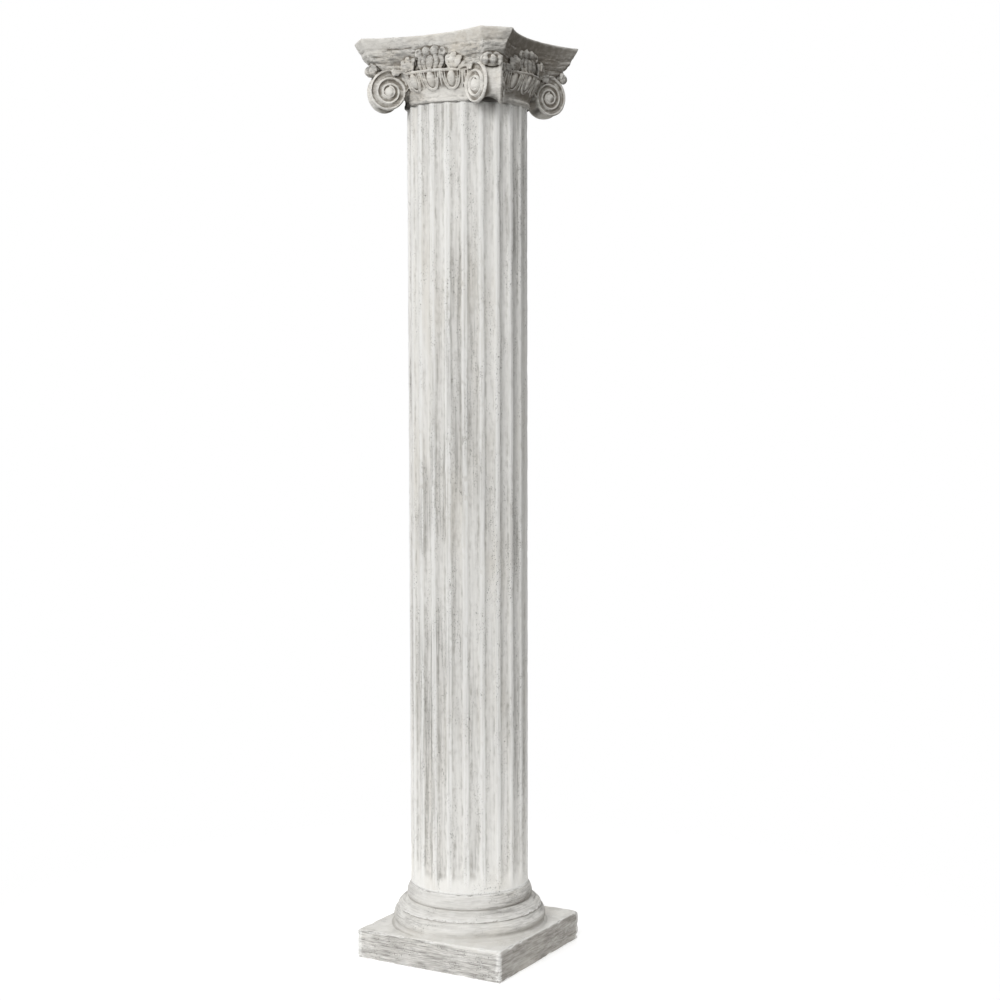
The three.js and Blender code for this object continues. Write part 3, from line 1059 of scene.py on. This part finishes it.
@dataclass(frozen=True)
class Fleuron:
    """The flower on the +x side: a globe of petals under a crown, with leaves at each hand."""

    globe: tuple = ((173.0, 0.0, 2373.0), (18.0, 41.0, 27.0))
    heart: tuple = ((190.0, 0.0, 2370.0), (6.0, 10.5, 17.0))
    petals: tuple = ((20.0, 6.0, 0.6), (34.0, 6.6, 0.2))
    petal_reach: float = 25.0
    petal_depth: float = 4.2
    crown: tuple = (((185.0, 12.5, 2401.0), (9.5, 13.5, 12.5)), ((180.0, 34.0, 2396.0), (8.0, 13.0, 12.0)))
    curl: tuple = (185.0, 36.0, 2396.5)
    curl_sizes: tuple = (7.0, 6.6)
    curl_thickness: tuple = (4.6, 5.0)
    leaf_lumps: tuple = (
        ((180, 68, 2373), (8, 22, 18)), ((163, 65, 2371), (16, 21, 27)), ((160, 90, 2366), (16, 22, 19)))
    leaf_lobes: tuple = (
        ((183, 58, 2355, 6, 4), (187, 55, 2371, 9, 4), (185, 52, 2387, 7.5, 4)),
        ((184, 64, 2355, 6, 4), (188, 68, 2373, 9.5, 4), (186, 70, 2392, 8, 4)),
        ((183, 70, 2355, 6, 4), (186, 81, 2368, 9, 4), (183, 88, 2383, 7.5, 4)))
    leaf_facing: tuple = (0.95, 0.3, 0.0)
    outer_leaf: tuple = (
        (178, 80, 2351, 4, 4), (176, 89, 2359, 7, 5), (170, 100, 2367, 8, 5), (167, 101, 2380, 5, 4))
    outer_facing: tuple = (0.8, 0.6, 0.0)

    def petal(self, wide: float, thick: float, proud: float) -> Skin:
        """A petal that bows over the globe.

        Args:
            wide: how far it bows to +y.
            thick: its half width.
            proud: how far it stands out of the globe.

        Returns:
            The skin.
        """
        (x, _, z), (deep, broad, tall) = self.globe
        controls = []
        for part in np.linspace(-0.95, 0.95, 7):
            across, up = wide * (1 - 0.72 * part * part), self.petal_reach * part
            back = max(1 - (across / broad) ** 2 - (up / tall) ** 2, 0.04)
            width = thick * (1 - 0.4 * part * part)
            controls.append((x + deep * math.sqrt(back) + proud, across, z + up, width, self.petal_depth))
        return strand(controls, (1, 0, 0), sides=16)

    def skins(self) -> list:
        """The whole flower.

        Returns:
            The skins.
        """
        x, y, z = self.curl
        wide, tall = self.curl_sizes
        curl = [(x, y + wide * math.sin(angle), z + tall * math.cos(angle), *self.curl_thickness)
                for angle in np.linspace(-2.6, 3.0, 12)]
        pairs = [self.petal(*sizes) for sizes in self.petals]
        pairs += [ball(*lump) for lump in self.crown + self.leaf_lumps]
        pairs.append(strand(curl, (1, 0, 0), sides=14))
        pairs += [strand(lobe, self.leaf_facing, sides=16) for lobe in self.leaf_lobes]
        pairs.append(strand(self.outer_leaf, self.outer_facing, groove=0.3))
        return [ball(*self.globe), ball(*self.heart), *mirrored(pairs)]


@dataclass(frozen=True)
class Bud:
    """The three-lobed bud under the horn at +x."""

    lumps: tuple = (((266, 0, 2364), (12, 9.5, 13)), ((250, 0, 2364), (16, 24, 15)))
    lobe: tuple = ((258, 18, 2363), (12, 9.5, 12.5))
    arch: tuple = (
        (259, 0, 2379, 4, 5), (258, 13, 2378, 4.2, 5), (255, 25, 2371, 4, 5), (251, 29, 2360, 3, 4))
    arch_facing: tuple = (1.0, 0.2, 0.2)

    def skins(self) -> list:
        """The bud's middle, and a lobe and an arch on both sides of it."""
        pair = [ball(*self.lobe), strand(self.arch, self.arch_facing)]
        return [*(ball(*lump) for lump in self.lumps), *mirrored(pair)]


@dataclass
class Capital:
    """The casting on top of the shaft: echinus, volutes, fleurons, buds and abacus in one skin."""

    node: str = "capital"
    echinus: Echinus = Echinus()
    abacus: Abacus = Abacus()
    volute: Volute = Volute()
    fleuron: Fleuron = Fleuron()
    bud: Bud = Bud()
    voxel: float = 1.3
    quick_voxel: float = 1.9
    hollow_steps: float = 108.0
    crease_steps: float = 14.0
    most_triangles: int = 192000
    # The finish paints shade in the hollows and on the side that faces away from the lights
    finish: Whitewash = Whitewash(
        "dirty_and_shaded_whitewash_capital", Streak.LAYERED, seed=21.0, wear=0.85, specks=0.5, grime_and_shade=0.95, soot=0.94,
        relief=1.0, crest=0.32, mottle=0.4,
        white=(0.765, 0.745, 0.70, 1.0), warm=(0.60, 0.545, 0.46, 1.0), chalk=(0.87, 0.852, 0.805, 1.0),
        stains_and_shading=(
            # Dirt and painted shade under the abacus, all round at the fleurons' level
            StainAndShading.band(2.377, 0.048, 0.17),
            StainAndShading((0.0, 0.0, 2.29), (0.2, 0.2, 0.03), -0.3),
            # Painted shade on each fleuron, where the abacus shades it
            *StainAndShading.each(SIDES, 0.186, 2.378, (0.06, 0.06, 0.038), 0.3),
        ),
        shadows=(
            # Painted shadows: in the arches under the volutes and in the gaps beside each fleuron
            *StainAndShading.each(CORNERS, 0.12, 2.275, (0.05, 0.05, 0.015), 0.96, 0.6),
            *StainAndShading.each(SIDES, 0.186, 2.383, (0.06, 0.06, 0.034), 0.27, 0.5),
        ))

    def carve(self, ring: Recipe, finish: bpy.types.Material) -> bpy.types.Object:
        """Sets the carved parts together, still overlapping.

        Args:
            ring: the recipe for copies round the axis.
            finish: the material.

        Returns:
            One object that holds them all.
        """
        eggs = mesh_object("eggs", self.echinus.egg_unit())
        flowers = mesh_object("flowers", self.fleuron.skins())
        corners = mesh_object("corners", self.volute.skins() + self.bud.skins())
        count = self.echinus.egg_count
        parts = [
            mesh_object("core", [self.echinus.core(), self.abacus.skin()]),
            ring.cook(eggs, finish, Count=count, Pitch=TURN / count),
            ring.cook(flowers, finish),
            ring.cook(corners, finish, First=TURN / 8),
        ]
        mesh = bpy.data.meshes.new("capital_casting")
        work = bmesh.new()
        for part in parts:
            work.from_mesh(part.data)
            bpy.data.objects.remove(part)
        work.to_mesh(mesh)
        work.free()
        return placed("capital_casting", mesh)

    def build(self, ring: Recipe, weather: Recipe) -> bpy.types.Object:
        """Carves the casting, melts its parts into one skin and wears it.

        Args:
            ring: the recipe for copies round the axis.
            weather: the wear recipe.

        Returns:
            The finished piece.
        """
        finish = self.finish.material()
        piece = self.carve(ring, finish)
        voxel = self.voxel
        shape(piece, "REMESH", mode="VOXEL", voxel_size=voxel * MM)
        shape(piece, "SMOOTH", factor=0.5, iterations=1)
        weather.cook(
            piece, finish, Stretch=(0.55, 0.55, 1.0), Ripple=0.0011, Ripple_Scale=55.0, Grit=0.0008,
            Grit_Scale=160.0, Chip=0.0035, Chip_Scale=34.0, Chip_Spread=0.1, Edge=0.0018, Seed=17.0,
            Reach=round(self.hollow_steps / voxel ** 2), Crease_Reach=round(self.crease_steps / voxel ** 2),
            Strata=0.0046, Strata_Low=2.356, Strata_High=2.421)
        return shape(piece, "DECIMATE", ratio=min(1.0, self.most_triangles / triangle_count(piece)))


@dataclass(frozen=True)
class Panel:
    """A soft panel of light, with its sizes in metres and its power in watts."""

    name: str
    place: tuple
    size: tuple
    power: float
    aim: tuple = (0.0, 0.0, 1.2)

    def build(self) -> None:
        """Hangs the panel, out of the camera's sight."""
        light = bpy.data.lights.new(self.name, "AREA")
        light.shape = "RECTANGLE"
        light.size, light.size_y = self.size
        light.energy = self.power
        lamp = placed(self.name, light)
        lamp.location = self.place
        lamp.rotation_euler = (Vector(self.aim) - Vector(self.place)).to_track_quat("-Z", "Y").to_euler()
        lamp.visible_camera = False


@dataclass
class Studio:
    """Camera, lights and floor."""

    distance: float = 4.88993
    azimuth: float = math.radians(30.683)
    height: float = 1.57483
    yaw: float = math.radians(-0.996)
    pitch: float = math.radians(-4.0)
    roll: float = math.radians(-0.104)
    focal_pixels: float = 1813.93
    frame_pixels: float = 1000.0
    sensor: float = 36.0
    dim: float = 0.12
    sky: float = 0.6
    floor_radius: float = 9.0
    floor_fade: tuple = (0.5, 1.5)
    panels: tuple = (
        Panel("key", (0.6, -4.6, 3.2), (2.2, 2.2), 165.0),
        Panel("left", (-4.2, -1.6, 2.4), (2.0, 2.5), 55.0),
        Panel("right", (4.2, 0.8, 1.7), (1.6, 2.4), 34.0, (0.0, 0.0, 1.0)),
        Panel("back", (-2.45, 4.13, 2.6), (1.6, 2.2), 95.0),
    )

    def camera(self) -> None:
        """Sets the camera where the photographer stood."""
        lens = bpy.data.cameras.new("camera")
        lens.sensor_width = self.sensor
        lens.lens = self.sensor * self.focal_pixels / self.frame_pixels
        out = Vector((math.sin(self.azimuth), -math.cos(self.azimuth), 0)) * self.distance
        place = out + Vector((0, 0, self.height))
        heading = self.azimuth + self.yaw
        level = Vector((-math.sin(heading), math.cos(heading), 0)) * math.cos(self.pitch)
        look = level + Vector((0, 0, math.sin(self.pitch)))
        right = look.cross(Vector((0, 0, 1))).normalized()
        up = right.cross(look)
        side = right * math.cos(self.roll) + up * math.sin(self.roll)
        head = up * math.cos(self.roll) - right * math.sin(self.roll)
        turn = Matrix((side, head, -look)).transposed().to_4x4()
        camera = placed("camera", lens)
        camera.matrix_world = Matrix.Translation(place) @ turn
        bpy.context.scene.camera = camera

    def room(self) -> None:
        """A white room that lights little, and more from above."""
        world = bpy.data.worlds.new("room")
        bpy.context.scene.world = world
        world.use_nodes = True
        tree = Tree(world.node_tree)
        seen = Value(tree, tree.add("ShaderNodeLightPath").outputs["Is Camera Ray"])
        up = tree.split(tree.add("ShaderNodeTexCoord").outputs["Generated"])[2]
        glow = up.math("MAXIMUM", 0.0) * self.sky + self.dim
        strength = seen * (1.0 - glow) + glow
        backdrop = tree.add("ShaderNodeBackground", None, {"Color": (1, 1, 1, 1), "Strength": strength})
        tree.add("ShaderNodeOutputWorld", None, {"Surface": backdrop})

    def floor(self) -> None:
        """A round, pale floor."""
        edge = circle(64) * self.floor_radius
        mesh = bpy.data.meshes.new("floor")
        mesh.from_pydata(np.column_stack([edge, np.zeros(len(edge))]).tolist(), [], [list(range(len(edge)))])
        mesh.materials.append(self.floor_finish())
        placed("floor", mesh)

    def floor_finish(self) -> bpy.types.Material:
        """A pale matt surface that fades into the white of the room.

        Returns:
            The material.
        """
        material = bpy.data.materials.new("pale_floor")
        material.use_nodes = True
        tree = Tree(material.node_tree)
        length = tree.measure("LENGTH", tree.add("ShaderNodeTexCoord").outputs["Object"])
        shader = tree.add("ShaderNodeBsdfPrincipled", None, {
            "Base Color": (0.9, 0.9, 0.9, 1), "Roughness": 0.9, "Specular IOR Level": 0.0,
            "Emission Color": (1, 1, 1, 1), "Emission Strength": 0.3,
            "Alpha": 1.0 - tree.ramp(length, *self.floor_fade)})
        tree.add("ShaderNodeOutputMaterial", None, {"Surface": shader})
        return material

    def build(self) -> None:
        """Sets up the whole studio."""
        self.camera()
        self.room()
        self.floor()
        for panel in self.panels:
            panel.build()
        bpy.context.scene.view_settings.view_transform = "Standard"


def hand_over(piece: bpy.types.Object, node: str) -> None:
    """Ties a finished piece to the frame.

    Args:
        piece: the piece.
        node: the solid that it stands for, which is hidden.
    """
    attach(piece, BODY)
    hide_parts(node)
    LOG.info("%s stands for %s with %d triangles", piece.name, node, triangle_count(piece))


def main() -> None:
    """Builds the studio and the three castings."""
    logging.basicConfig(level=logging.INFO, format="%(message)s")
    Studio().build()
    weather = weather_recipe()
    base = Base()
    hand_over(base.build(weather), base.node)
    shaft = Shaft()
    hand_over(shaft.build(fluting_recipe(), weather), shaft.node)
    capital = Capital()
    hand_over(capital.build(ring_recipe(), weather), capital.node)


if __name__ == "__main__":
    main()
